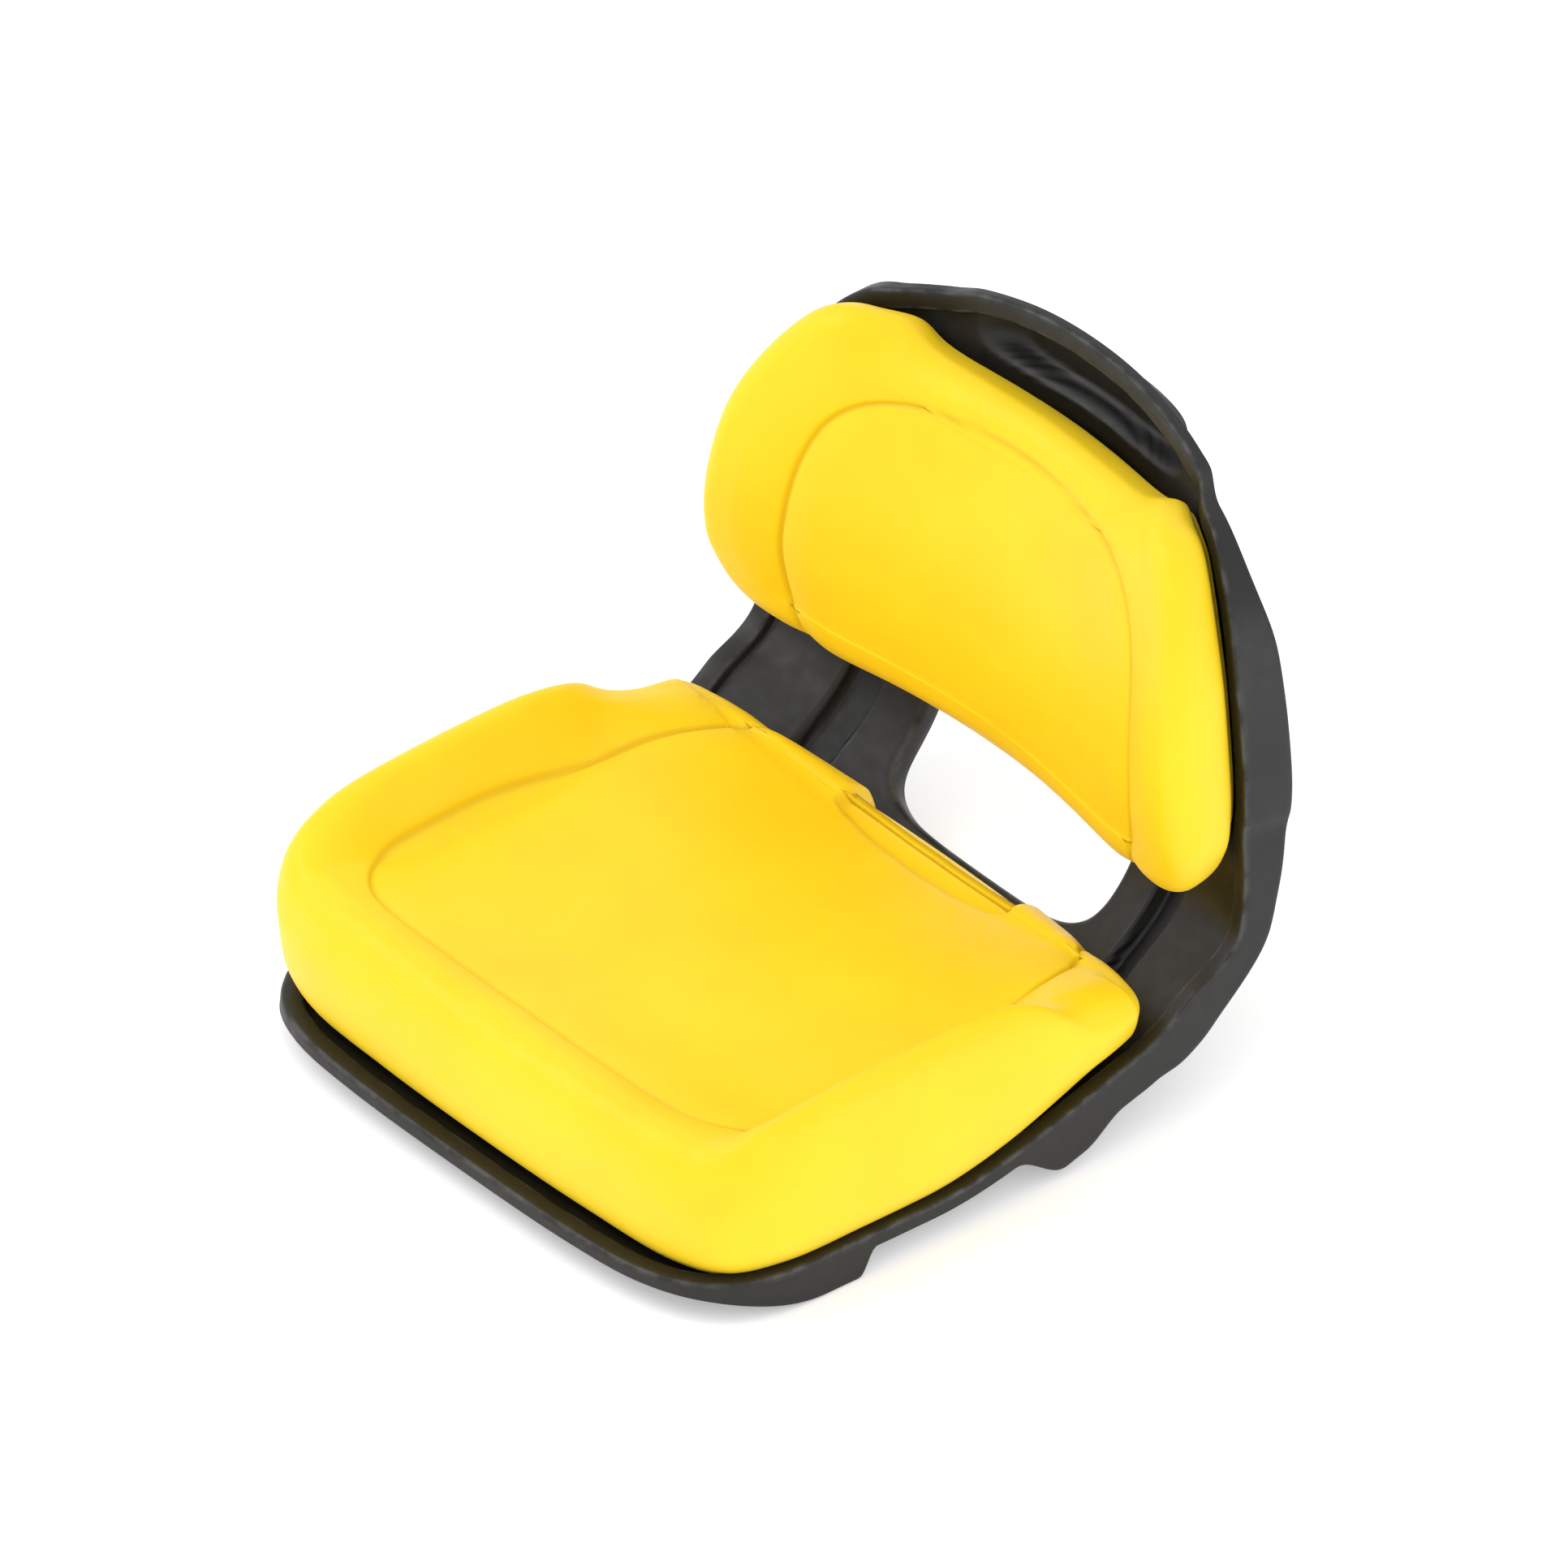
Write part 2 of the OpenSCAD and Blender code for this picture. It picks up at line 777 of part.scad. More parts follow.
module switch_plunger() {
    top = seat_board_z + board_t;
    color(vinyl_yellow)
        translate([0, switch_y, 0]) {
            translate([0, 0, disc_z])
                cylinder(r = stem_r, h = collar_z - disc_z + 1);
            translate([0, 0, collar_z])
                cylinder(r = plunger_r + 2, h = collar_t);
            translate([0, 0, collar_z])
                cylinder(r = plunger_r, h = top - plunger_chamfer - collar_z);
            translate([0, 0, top - plunger_chamfer])
                cylinder(r1 = plunger_r, r2 = plunger_r - plunger_chamfer, h = plunger_chamfer);
        }
}

module switch_contact_disc() {
    color(brass)
        translate([0, switch_y, disc_z])
            difference() {
                cylinder(r = disc_r, h = disc_t);
                translate([0, 0, -1])
                    cylinder(r = stem_r + fit, h = disc_t + 2);
            }
}

// Coil swept round a vertical axis, closed at both ends
module coil(radius, wire, height, turns, sides, steps) {
    rings = [
        for (i = [0 : steps])
            [
                for (k = [0 : sides - 1])
                    let (
                        a = 360 * turns * i / steps,
                        b = 360 * k / sides,
                        r = radius + wire * cos(b)
                    )
                    [r * cos(a), r * sin(a), wire + (height - 2 * wire) * i / steps + wire * sin(b)]
            ]
    ];
    first = [radius, 0, wire];
    last = [radius * cos(360 * turns), radius * sin(360 * turns), height - wire];
    ring_pod(rings, first, last, steps + 1);
}

module switch_spring() {
    color(steel)
        translate([0, switch_y, switch_base + cap_t + fit])
            coil(spring_r, spring_wire, disc_z - switch_base - cap_t - 2 * fit, spring_turns, 8, 72);
}

module switch_terminals() {
    color(brass)
        for (side = [-1, 1])
            translate([side * blade_x - blade_w / 2, switch_y - blade_out, blade_z])
                cube([blade_w, blade_out - blade_in, blade_t]);
}

seat_shell();
mount_inserts();
seat_cushion_cover();
seat_cushion_foam();
seat_cushion_board();
seat_cushion_staples();
seat_cushion_tee_nuts();
seat_cushion_screws();
seat_cushion_washers();
back_cushion_cover();
back_cushion_foam();
back_cushion_board();
back_cushion_staples();
back_cushion_tee_nuts();
back_cushion_screws();
back_cushion_washers();
switch_housing();
switch_cap();
switch_plunger();
switch_spring();
switch_contact_disc();
switch_terminals();
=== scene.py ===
import math

import bpy
import numpy as np
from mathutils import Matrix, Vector
from mathutils.kdtree import KDTree


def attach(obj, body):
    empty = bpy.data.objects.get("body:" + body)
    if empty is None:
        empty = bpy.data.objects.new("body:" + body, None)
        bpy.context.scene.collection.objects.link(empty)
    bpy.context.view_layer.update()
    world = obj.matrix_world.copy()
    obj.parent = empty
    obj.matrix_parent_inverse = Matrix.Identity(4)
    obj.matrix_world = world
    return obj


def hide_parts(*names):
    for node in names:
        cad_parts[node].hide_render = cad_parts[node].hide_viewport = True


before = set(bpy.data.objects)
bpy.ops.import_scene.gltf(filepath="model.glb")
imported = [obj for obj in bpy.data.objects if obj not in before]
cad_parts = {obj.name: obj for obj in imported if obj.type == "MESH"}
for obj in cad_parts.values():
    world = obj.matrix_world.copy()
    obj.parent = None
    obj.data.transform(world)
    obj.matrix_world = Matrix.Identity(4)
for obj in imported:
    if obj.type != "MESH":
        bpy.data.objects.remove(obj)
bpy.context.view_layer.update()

# An open-back seat for a riding mower: a black moulded shell with two yellow vinyl cushions.
# The shell and the cushions replace their plain CAD solids. All other nodes keep their CAD shape
# and get a material. Shapes are worked out in mm on a flat strip, x across and s from the front
# edge to the top, and place() bends the strip into the pan, the bend and the backrest.

MM = 0.001

# ---- Sizes in mm, the same values as the part's. The formulas are the part's too, but rounder
# at the back of the seat cushion and along the backrest's wall. ----
SHELL_W, PAN_DEPTH, SHELL_H, BEND_R = 496.0, 388.0, 434.0, 131.0
WALL, RIM_W, RIM_H = 3.6, 16.0, 8.0
WINDOW_HALF_W, WINDOW_LEN = 106.0, 147.0
SEAT_PAD_H, BACK_PAD_H, SKIN, BOARD_T = 130.0, 78.0, 1.4, 9.0
FRONT_RISE, PAN_Z = 4.0, 16.0
BEND = math.radians(90 - 8)
FRONT_Y = -PAN_DEPTH * 0.732
BEND_Y = FRONT_Y + PAN_DEPTH
BEND_LEN = BEND_R * BEND
BACK_S = PAN_DEPTH + BEND_LEN
BACK_Z = PAN_Z + BEND_R * (1 - math.cos(BEND))
BACK_Y = BEND_Y + BEND_R * math.sin(BEND)
BACK_LEN = (SHELL_H - BACK_Z - RIM_H * math.cos(BEND)) / math.sin(BEND)
HALF_W = SHELL_W / 2
WRAP_FRONT, WRAP_BEND, WRAP_LOW_BACK, WRAP_TOP, WRAP_EASE = 0.0001, 0.0015, 0.0010, 0.0017, 300.0
HANDLE_HALF_W, HANDLE_BACK = 134.0, 11.0
POCKET_HALF_W, POCKET_HALF_H, POCKET_DEPTH = 98.0, 19.0, 16.0
CHANNEL_X, CHANNEL_HALF_W, CHANNEL_DEPTH = 157.0, 13.0, 12.0
BASE_N, CLEAR_N = 4.2, RIM_H + 2.5
GAP = 0.3
SEAT_BOARD_Z, BACK_BOARD_N, HEM_W = 34.0, 30.0, 12.0
BOLT_X, BOLT_Y = 285.75, 260.35
SEAT_SCREW_X, SEAT_SCREW_S = 110.0, (104.0, 318.0)
BACK_SCREW_X, BACK_SCREW_S = 95.0, (BACK_S + 60, BACK_S + 180)


def ease(t):
    """A smooth step from 0 to 1."""
    c = np.clip(t, 0, 1)
    return c * c * (3 - 2 * c)


def up(share):
    """The place along the strip at a share of the backrest's length."""
    return BACK_S + share * BACK_LEN


def wrap_rate(s):
    """How strongly the strip curls up at its sides."""
    return (
        WRAP_FRONT
        + (WRAP_BEND - WRAP_FRONT) * ease((s - 0.52 * PAN_DEPTH) / (0.70 * PAN_DEPTH))
        - (WRAP_BEND - WRAP_LOW_BACK) * ease((s - BACK_S + 105) / 90)
        + (WRAP_TOP - WRAP_LOW_BACK) * ease((s - BACK_S + 15) / (0.86 * BACK_LEN))
    )


def handle_set_back(x, s):
    """The top edge bows back between the ends of the finger pocket."""
    return (
        HANDLE_BACK
        * (np.minimum(np.abs(x), HANDLE_HALF_W) / HANDLE_HALF_W) ** 2
        * ease((HANDLE_HALF_W + 30 - np.abs(x)) / 40)
        * ease((s - BACK_S - BACK_LEN + 75) / 40)
    )


def lift(x, s):
    """Height of the shell's face over the flat middle of the strip."""
    return wrap_rate(s) * x * x / (1 + (x / WRAP_EASE) ** 2) - handle_set_back(x, s)


def place(p, n):
    """Bends flat points (x, s) at heights n into place, in mm."""
    x, s = p[..., 0], p[..., 1]
    a = np.clip((s - PAN_DEPTH) / BEND_R, 0, BEND)
    past = np.maximum(s - BACK_S, 0)
    h = n + lift(x, s)
    y = np.where(s < PAN_DEPTH, FRONT_Y + s, BEND_Y + BEND_R * np.sin(a)) + past * math.cos(BEND)
    z = (
        PAN_Z
        + FRONT_RISE * (1 - ease(s / PAN_DEPTH))
        + BEND_R * (1 - np.cos(a))
        + past * math.sin(BEND)
    )
    return np.stack([x, y - h * np.sin(a), z + h * np.cos(a)], -1)


def curve(points, per, closed=True):
    """Smooth curve through points, with `per` steps between neighbours."""
    p = np.asarray(points, float)
    if closed:
        a, b, c, d = np.roll(p, 1, 0), p, np.roll(p, -1, 0), np.roll(p, -2, 0)
    else:
        q = np.vstack([2 * p[0] - p[1], p, 2 * p[-1] - p[-2]])
        a, b, c, d = q[:-3], q[1:-2], q[2:-1], q[3:]
    t = (np.arange(per) / per)[None, :, None]
    a, b, c, d = (v[:, None, :] for v in (a, b, c, d))
    out = 0.5 * (
        2 * b + (c - a) * t + (2 * a - 5 * b + 4 * c - d) * t**2 + (3 * b - a - 3 * c + d) * t**3
    )
    out = out.reshape(-1, p.shape[1])
    return out if closed else np.vstack([out, p[-1:]])


def both_sides(half):
    """A closed outline from its right half."""
    return np.array(list(half) + [(-x, s) for x, s in half[-2:0:-1]], float)


def resample(points, count, weight=None):
    """`count` points along a closed line, closer together where weight is larger."""
    line = np.vstack([points, points[:1]])
    mid = (line[1:] + line[:-1]) / 2
    step = np.linalg.norm(np.diff(line, axis=0), axis=1)
    if weight is not None:
        step = step * weight(mid)
    run = np.concatenate([[0], np.cumsum(step)])
    at = np.linspace(0, run[-1], count, endpoint=False)
    return np.column_stack([np.interp(at, run, line[:, k]) for k in (0, 1)])


def inward(points):
    """Unit normals that point into a closed line that runs anticlockwise."""
    d = np.roll(points, -3, 0) - np.roll(points, 3, 0)
    n = np.column_stack([-d[:, 1], d[:, 0]])
    return n / np.linalg.norm(n, axis=1)[:, None]


# ---- Meshes ----


def make_object(name, coords, faces, attributes=None):
    """A smooth mesh object from points in mm, with its faces turned outwards."""
    first = [(f[0], f[k], f[k + 1]) for f in faces for k in range(1, len(f) - 1)]
    t = coords[np.array(first)]
    if np.einsum("ij,ij->", t[:, 0], np.cross(t[:, 1], t[:, 2])) < 0:
        faces = [tuple(reversed(f)) for f in faces]
    mesh = bpy.data.meshes.new(name)
    mesh.from_pydata((coords * MM).tolist(), [], faces)
    mesh.validate()
    mesh.shade_smooth()
    for key, values in (attributes or {}).items():
        mesh.attributes.new(key, "FLOAT", "POINT").data.foreach_set(
            "value", np.asarray(values, np.float32)
        )
    ob = bpy.data.objects.new(name, mesh)
    bpy.context.scene.collection.objects.link(ob)
    return ob


def ring_faces(m, n, wrap, offset=0):
    """Quads between rings of n points: row i joins row i + 1, and the last row joins the first."""
    out = []
    for i in range(m if wrap else m - 1):
        a, b = offset + i * n, offset + ((i + 1) % m) * n
        out += [(a + j, a + (j + 1) % n, b + (j + 1) % n, b + j) for j in range(n)]
    return out


def pod_faces(m, n, offset=0):
    """Rings closed by a fan at each end, whose middles are the two points after the last ring."""
    first, last = offset + m * n, offset + m * n + 1
    low, high = offset, offset + (m - 1) * n
    return (
        ring_faces(m, n, False, offset)
        + [(first, low + (j + 1) % n, low + j) for j in range(n)]
        + [(last, high + j, high + (j + 1) % n) for j in range(n)]
    )


def lathe(profile, spin=48):
    """Rings of a closed profile of (radius, height) about Z."""
    a = np.linspace(0, 2 * math.pi, spin, endpoint=False)
    rings = [np.column_stack([r * np.cos(a), r * np.sin(a), np.full(spin, z)]) for r, z in profile]
    return np.vstack(rings), ring_faces(len(profile), spin, True)


# ---- Materials ----


def colour(r, g, b):
    """Linear colour of an 8-bit screen colour."""
    c = np.array([r, g, b]) / 255
    lin = np.where(c <= 0.04045, c / 12.92, ((c + 0.055) / 1.055) ** 2.4)
    return (*lin.tolist(), 1.0)


class Nodes:
    """A node material being built. Coordinates are the object's own, in metres."""

    def __init__(self, name):
        self.material = bpy.data.materials.new(name)
        self.material.use_nodes = True
        self.tree = self.material.node_tree
        self.shader = self.tree.nodes["Principled BSDF"]
        self.coords = self.tree.nodes.new("ShaderNodeTexCoord").outputs["Object"]

    def set(self, **values):
        for key, value in values.items():
            self.shader.inputs[key.replace("_", " ")].default_value = value
        return self

    def join(self, output, target):
        self.tree.links.new(output, target)

    def noise(self, scale, detail=2.0, rough=0.5, stretch=None):
        node = self.tree.nodes.new("ShaderNodeTexNoise")
        node.inputs["Scale"].default_value = scale
        node.inputs["Detail"].default_value = detail
        node.inputs["Roughness"].default_value = rough
        self.join(self.scaled(stretch), node.inputs["Vector"])
        return node.outputs["Fac"]

    def scaled(self, stretch):
        if stretch is None:
            return self.coords
        node = self.tree.nodes.new("ShaderNodeMapping")
        node.inputs["Scale"].default_value = stretch
        self.join(self.coords, node.inputs["Vector"])
        return node.outputs["Vector"]

    def cells(self, scale, feature="SMOOTH_F1"):
        node = self.tree.nodes.new("ShaderNodeTexVoronoi")
        node.feature = feature
        node.inputs["Scale"].default_value = scale
        self.join(self.coords, node.inputs["Vector"])
        return node.outputs["Distance"]

    def attribute(self, name):
        node = self.tree.nodes.new("ShaderNodeAttribute")
        node.attribute_name = name
        return node.outputs["Fac"]

    def spread(self, source, low, high, to_low, to_high):
        node = self.tree.nodes.new("ShaderNodeMapRange")
        limits = {"From Min": low, "From Max": high, "To Min": to_low, "To Max": to_high}
        for key, value in limits.items():
            node.inputs[key].default_value = value
        self.join(source, node.inputs["Value"])
        return node.outputs["Result"]

    def math(self, operation, a, b):
        node = self.tree.nodes.new("ShaderNodeMath")
        node.operation = operation
        for socket, value in zip(node.inputs, (a, b)):
            if isinstance(value, (int, float)):
                socket.default_value = value
            else:
                self.join(value, socket)
        return node.outputs[0]

    def mix(self, share, a, b):
        node = self.tree.nodes.new("ShaderNodeMix")
        node.data_type = "RGBA"
        self.join(share, node.inputs["Factor"])
        for key, value in (("A", a), ("B", b)):
            socket = [i for i in node.inputs if i.name == key and i.type == "RGBA"][0]
            if isinstance(value, tuple):
                socket.default_value = value
            else:
                self.join(value, socket)
        return [o for o in node.outputs if o.type == "RGBA"][0]

    def bump(self, height, strength, distance):
        node = self.tree.nodes.new("ShaderNodeBump")
        node.inputs["Strength"].default_value = strength
        node.inputs["Distance"].default_value = distance
        self.join(height, node.inputs["Height"])
        self.join(node.outputs["Normal"], self.shader.inputs["Normal"])

    def base(self, output):
        self.join(output, self.shader.inputs["Base Color"])

    def rough(self, output):
        self.join(output, self.shader.inputs["Roughness"])


def vinyl_material():
    """Sewn upholstery vinyl: leather grain, slow shifts of colour, painted shade in the seams."""
    m = Nodes("vinyl")
    shift = m.spread(m.noise(9.0, 3.0), 0.35, 0.65, 0.0, 1.0)
    tone = m.mix(shift, colour(240, 202, 16), colour(246, 209, 22))
    # painted shade: the base colour darkens to a deeper yellow in the seam grooves, where shade
    # falls
    m.base(m.mix(m.spread(m.attribute("seam"), 0.0, 1.0, 0.0, 0.55), tone, colour(206, 172, 12)))
    m.rough(m.spread(m.noise(120.0, 2.0), 0.3, 0.7, 0.40, 0.52))
    grain = m.math("ADD", m.cells(620.0), m.math("MULTIPLY", m.noise(1500.0, 2.0), 0.4))
    m.bump(grain, 0.10, 0.0004)
    m.set(Sheen_Weight=0.03, Sheen_Roughness=0.5, Specular_IOR_Level=0.3)
    return m.material


def plastic_material(name, dark, light, edge, rough=(0.42, 0.56)):
    """Moulded plastic: fine spark-eroded grain, faint flow marks, paler edges as painted highlights
    broken up by noise, painted shade in the channels.
    """
    m = Nodes(name)
    flow = m.spread(m.noise(7.0, 3.0, stretch=(1.0, 0.4, 1.0)), 0.35, 0.65, 0.0, 1.0)
    tone = m.mix(flow, dark, light)
    # painted highlight: rounded edges are made paler where light catches them, in noisy patches
    highlight_patches = m.spread(m.noise(60.0, 4.0), 0.42, 0.62, 0.0, 1.0)
    painted_edge_highlight = m.math("MULTIPLY", m.attribute("painted_edge_highlight"), highlight_patches)
    # painted shade: the upright channels are darkened towards black, where shade falls
    tone = m.mix(m.attribute("painted_channel_shade"), tone, colour(5, 5, 5))
    m.base(m.mix(m.spread(painted_edge_highlight, 0.0, 1.0, 0.0, 0.6), tone, edge))
    m.rough(m.spread(m.noise(90.0, 3.0), 0.3, 0.7, *rough))
    grain = m.math("ADD", m.noise(1100.0, 2.0), m.math("MULTIPLY", m.cells(900.0), 0.5))
    m.bump(grain, 0.12, 0.0003)
    m.set(Specular_IOR_Level=0.4)
    return m.material


def metal_material(name, dark, light, rough, stretch):
    """Plated or drawn metal: streaks along one axis and dull patches."""
    m = Nodes(name)
    streak = m.noise(240.0, 3.0, stretch=stretch)
    m.base(m.mix(m.spread(streak, 0.35, 0.65, 0.0, 1.0), dark, light))
    m.rough(m.spread(m.noise(70.0, 3.0), 0.3, 0.7, *rough))
    m.bump(streak, 0.12, 0.0002)
    m.set(Metallic=1.0)
    return m.material


def wood_material():
    """Plywood board: long grain with darker bands."""
    m = Nodes("plywood")
    grain = m.noise(30.0, 6.0, 0.6, stretch=(1.0, 9.0, 9.0))
    m.base(m.mix(m.spread(grain, 0.35, 0.65, 0.0, 1.0), colour(126, 92, 58), colour(184, 146, 100)))
    m.rough(m.spread(grain, 0.3, 0.7, 0.62, 0.8))
    m.bump(grain, 0.3, 0.0006)
    return m.material


def foam_material():
    """Open-cell foam."""
    m = Nodes("foam")
    cells = m.cells(700.0)
    m.base(m.mix(m.spread(cells, 0.1, 0.7, 0.0, 1.0), colour(176, 160, 112), colour(226, 214, 174)))
    m.rough(m.spread(m.noise(50.0), 0.3, 0.7, 0.85, 0.98))
    m.bump(cells, 0.5, 0.001)
    return m.material


# ---- Shell ----

SHELL_HALF = [
    (0, 0), (0.44 * HALF_W, 1), (0.71 * HALF_W, 8), (0.88 * HALF_W, 30), (0.97 * HALF_W, 72),
    (0.99 * HALF_W, 140), (HALF_W, 0.64 * PAN_DEPTH), (HALF_W, 0.9 * PAN_DEPTH),
    (HALF_W, PAN_DEPTH + 0.3 * BEND_LEN), (HALF_W, PAN_DEPTH + 0.7 * BEND_LEN),
    (HALF_W, up(0.08)), (0.985 * HALF_W, up(0.2)), (0.995 * HALF_W, up(0.27)),
    (0.985 * HALF_W, up(0.4)), (0.95 * HALF_W, up(0.55)), (0.89 * HALF_W, up(0.7)),
    (0.81 * HALF_W, up(0.80)), (0.72 * HALF_W, up(0.872)), (0.62 * HALF_W, up(0.905)),
    (0.52 * HALF_W, up(0.925)), (0.41 * HALF_W, up(0.962)), (0.22 * HALF_W, up(0.992)), (0, up(1)),
]
WINDOW_MID = np.array([0, PAN_DEPTH + 0.41 * BEND_LEN + WINDOW_LEN / 2])
SHELL_COUNT = 900
FACE_RINGS = 72
LIP_N, DRAFT = 5.2, 0.08
WALL_BLUR = 40.0
# Distance in from an edge, height over the face, and how much painted highlight the edge gets
WINDOW_EDGE = [
    (WALL, -15, 0), (WALL - 0.7, -16, 0.4), (0.7, -16, 0.4), (0, -15, 0.2), (0, -10, 0),
    (0, -5, 0), (0.5, -2.6, 0.5), (1.8, -0.9, 0.8), (3.4, -0.2, 0.3),
]
RIM_EDGE = [
    (RIM_W, 0, 0), (15.5, 0.4, 0), (15.2, 1.6, 0), (14.9, 5.6, 0), (14.5, 6.9, 0.4),
    (13.8, 7.6, 0.9), (12.8, 7.95, 0.6), (11.6, RIM_H, 0), (7, RIM_H, 0), (3, RIM_H, 0.1),
    (1.6, 7.7, 0.7), (0.5, 6.8, 1.0), (0, LIP_N, 0.4),
]


def window_point(p, grow):
    """Where the ray from the window's middle to each point crosses the window, grown a little."""
    d = p - WINDOW_MID
    a, b = WINDOW_HALF_W + grow, WINDOW_LEN / 2 + grow
    reach = ((np.abs(d[:, 0]) / a) ** 5 + (np.abs(d[:, 1]) / b) ** 5) ** -0.2
    return WINDOW_MID + d * reach[:, None]


def wall_depth(s):
    """Depth of the wall under the rim: deep in front, cut away at the side, deep again behind."""
    front = 10 + 20 * ease(s / 110) - 19 * ease((s - 138) / 16)
    rear = (
        11
        + 29 * ease((s - 0.705 * PAN_DEPTH) / 44)
        - 10 * ease((s - 0.86 * PAN_DEPTH) / 34)
        + 10 * ease((s - PAN_DEPTH - 10) / 60)
        - 14 * ease((s - BACK_S + 120) / 60) * ease((BACK_S + 70 - s) / 60)
        - 11 * ease((s - up(0.55)) / (0.35 * BACK_LEN))
        - 21 * ease((s - up(0.74)) / (0.14 * BACK_LEN))
    )
    return np.where(s < 0.7 * PAN_DEPTH, front, rear)


def channel_share(x, s):
    """How far into an upright channel a point lies, from 0 to 1."""
    return (
        ease((CHANNEL_HALF_W + 2 - np.abs(np.abs(x) - CHANNEL_X)) / 4)
        * ease((s - PAN_DEPTH - 8) / 30)
        * ease((up(0.35) - s) / 30)
    )


def relief(x, s):
    """Depth of the upright channels and of the finger pocket at the top."""
    pocket_s = BACK_S + BACK_LEN - 34
    bean = np.sqrt((x / POCKET_HALF_W) ** 4 + ((s - pocket_s) / POCKET_HALF_H) ** 4)
    return -CHANNEL_DEPTH * channel_share(x, s) - POCKET_DEPTH * ease(1.9 - 1.6 * bean)


def build_shell():
    """One closed moulding: face, rim and wall, then back along the inside, and its posts."""
    line = resample(curve(both_sides(SHELL_HALF), 40), SHELL_COUNT)
    normal = inward(line)
    # the steps in the wall run out softly on the backrest
    blur = WALL_BLUR * ease((line[:, 1] - PAN_DEPTH) / 50)
    depth = np.mean([wall_depth(line[:, 1] + blur * t) for t in np.linspace(-1, 1, 9)], axis=0)
    rings, painted_edge_highlight, painted_channel_shade = [], [], []

    # each ring also takes a share of painted edge highlight and of painted channel shade
    def add(ring, edge_highlight_share=0.0, deep=0.0):
        rings.append(ring)
        painted_edge_highlight.append(np.full(len(line), edge_highlight_share))
        painted_channel_shade.append(np.broadcast_to(deep, len(line)))

    def rim(distance, n, edge_highlight_share=0.0):
        add(place(line + normal * distance, n), edge_highlight_share)

    def window(grow, n, edge_highlight_share=0.0):
        add(place(window_point(line, grow), np.full(len(line), float(n))), edge_highlight_share)

    def face(share, n):
        edge, outer = window_point(line, 5), line + normal * RIM_W
        p = edge + (outer - edge) * share
        # the channel share also paints shade into the upright channels
        add(place(p, n + relief(p[:, 0], p[:, 1])), 0, channel_share(p[:, 0], p[:, 1]))

    def skirt(distance, t, edge_highlight_share=0.0):
        n = LIP_N - (depth - (RIM_H - LIP_N)) * t
        add(place(line + normal * (distance - DRAFT * (RIM_H - n))[:, None], n), edge_highlight_share)

    for grow, n, edge_highlight_share in WINDOW_EDGE:
        window(grow, n, edge_highlight_share)
    shares = 1 - (1 - np.linspace(0, 1, FACE_RINGS + 1)) ** 1.15
    for share in shares[:-1]:
        face(share, 0)
    for distance, n, edge_highlight_share in RIM_EDGE:
        rim(distance, n, edge_highlight_share)
    for t in np.linspace(0.12, 0.97, 9):
        skirt(0, t)
    # painted highlight along the skirt's bottom edge
    skirt(0.5, 1, 0.7)
    skirt(WALL - 0.5, 1, 0.7)
    for t in np.linspace(0.97, 0.2, 6):
        skirt(WALL, t)
    rim(WALL, RIM_H - WALL - 3)
    rim(WALL + 1.6, RIM_H - WALL - 0.6)
    rim(WALL + 4, RIM_H - WALL)
    rim(RIM_W - 2, RIM_H - WALL - 1)
    for share in shares[:0:-1]:
        face(share, -WALL)
    window(WALL + 1.6, -WALL - 1.4)
    window(WALL + 0.4, -WALL - 4)

    coords = np.array(rings)
    m, n = coords.shape[:2]
    parts = [coords.reshape(-1, 3)]
    faces = ring_faces(m, n, True)
    edge_highlight_share = [np.concatenate(painted_edge_highlight)]
    deep = [np.concatenate(painted_channel_shade)]
    total = m * n
    for points, local in shell_posts():
        parts.append(points)
        faces += [tuple(v + total for v in f) for f in local]
        edge_highlight_share.append(np.zeros(len(points)))
        deep.append(np.zeros(len(points)))
        total += len(points)
    marks = {"painted_edge_highlight": np.concatenate(edge_highlight_share), "painted_channel_shade": np.concatenate(deep)}
    return make_object("shell_moulding", np.vstack(parts), faces, marks)


def on_back(points, x, s, n):
    """Points about Z, turned square to the flat face that the backrest bends from."""
    c, d = math.cos(BEND), math.sin(BEND)
    px, py, pz = points[:, 0], points[:, 1], points[:, 2] + n
    y = BACK_Y + (s - BACK_S) * c + py * c - pz * d
    z = BACK_Z + (s - BACK_S) * d + py * d + pz * c
    return np.column_stack([px + x, y, z])


def shell_posts():
    """Bosses for the inserts and posts for the cushion screws, with filleted feet."""
    out = []
    for sx in (-1, 1):
        for sy in (-1, 1):
            top = place(np.array([sx * BOLT_X / 2, sy * BOLT_Y / 2 - FRONT_Y]), 0.0)[2] - WALL
            profile = [(6.5, 12.9), (6.5, 0.6), (7.1, 0), (12.2, 0), (13, 0.8), (13, top - 4),
                       (13.6, top - 1.6), (15.5, top - 0.2), (18, top + 0.6), (18, top + 2),
                       (6.5, top + 2)]
            points, faces = lathe(profile, 64)
            out.append((points + [sx * BOLT_X / 2, sy * BOLT_Y / 2, 0], faces))
    for side in (-1, 1):
        for s in SEAT_SCREW_S:
            profile = [(3.3, 8), (9.3, 8), (10, 8.7), (10, 10.6), (10.8, 12), (13, 13.2), (13, 15),
                       (10, 17), (10, 33.4), (9.4, 34), (3.3, 34)]
            points, faces = lathe(profile)
            out.append((points + [side * SEAT_SCREW_X, FRONT_Y + s, 0], faces))
        for s in BACK_SCREW_S:
            base = float(lift(np.array(BACK_SCREW_X), np.array(s)))
            foot = base - WALL
            profile = [(3.3, 2), (9.3, 2), (10, 2.7), (10, foot - 2.6), (10.8, foot - 1),
                       (13, foot + 0.4), (13, foot + 2), (10, base + 2), (10, 29.4), (9.4, 30),
                       (3.3, 30)]
            points, faces = lathe(profile)
            out.append((on_back(points, side * BACK_SCREW_X, s, 0), faces))
    return out


# ---- Cushions ----

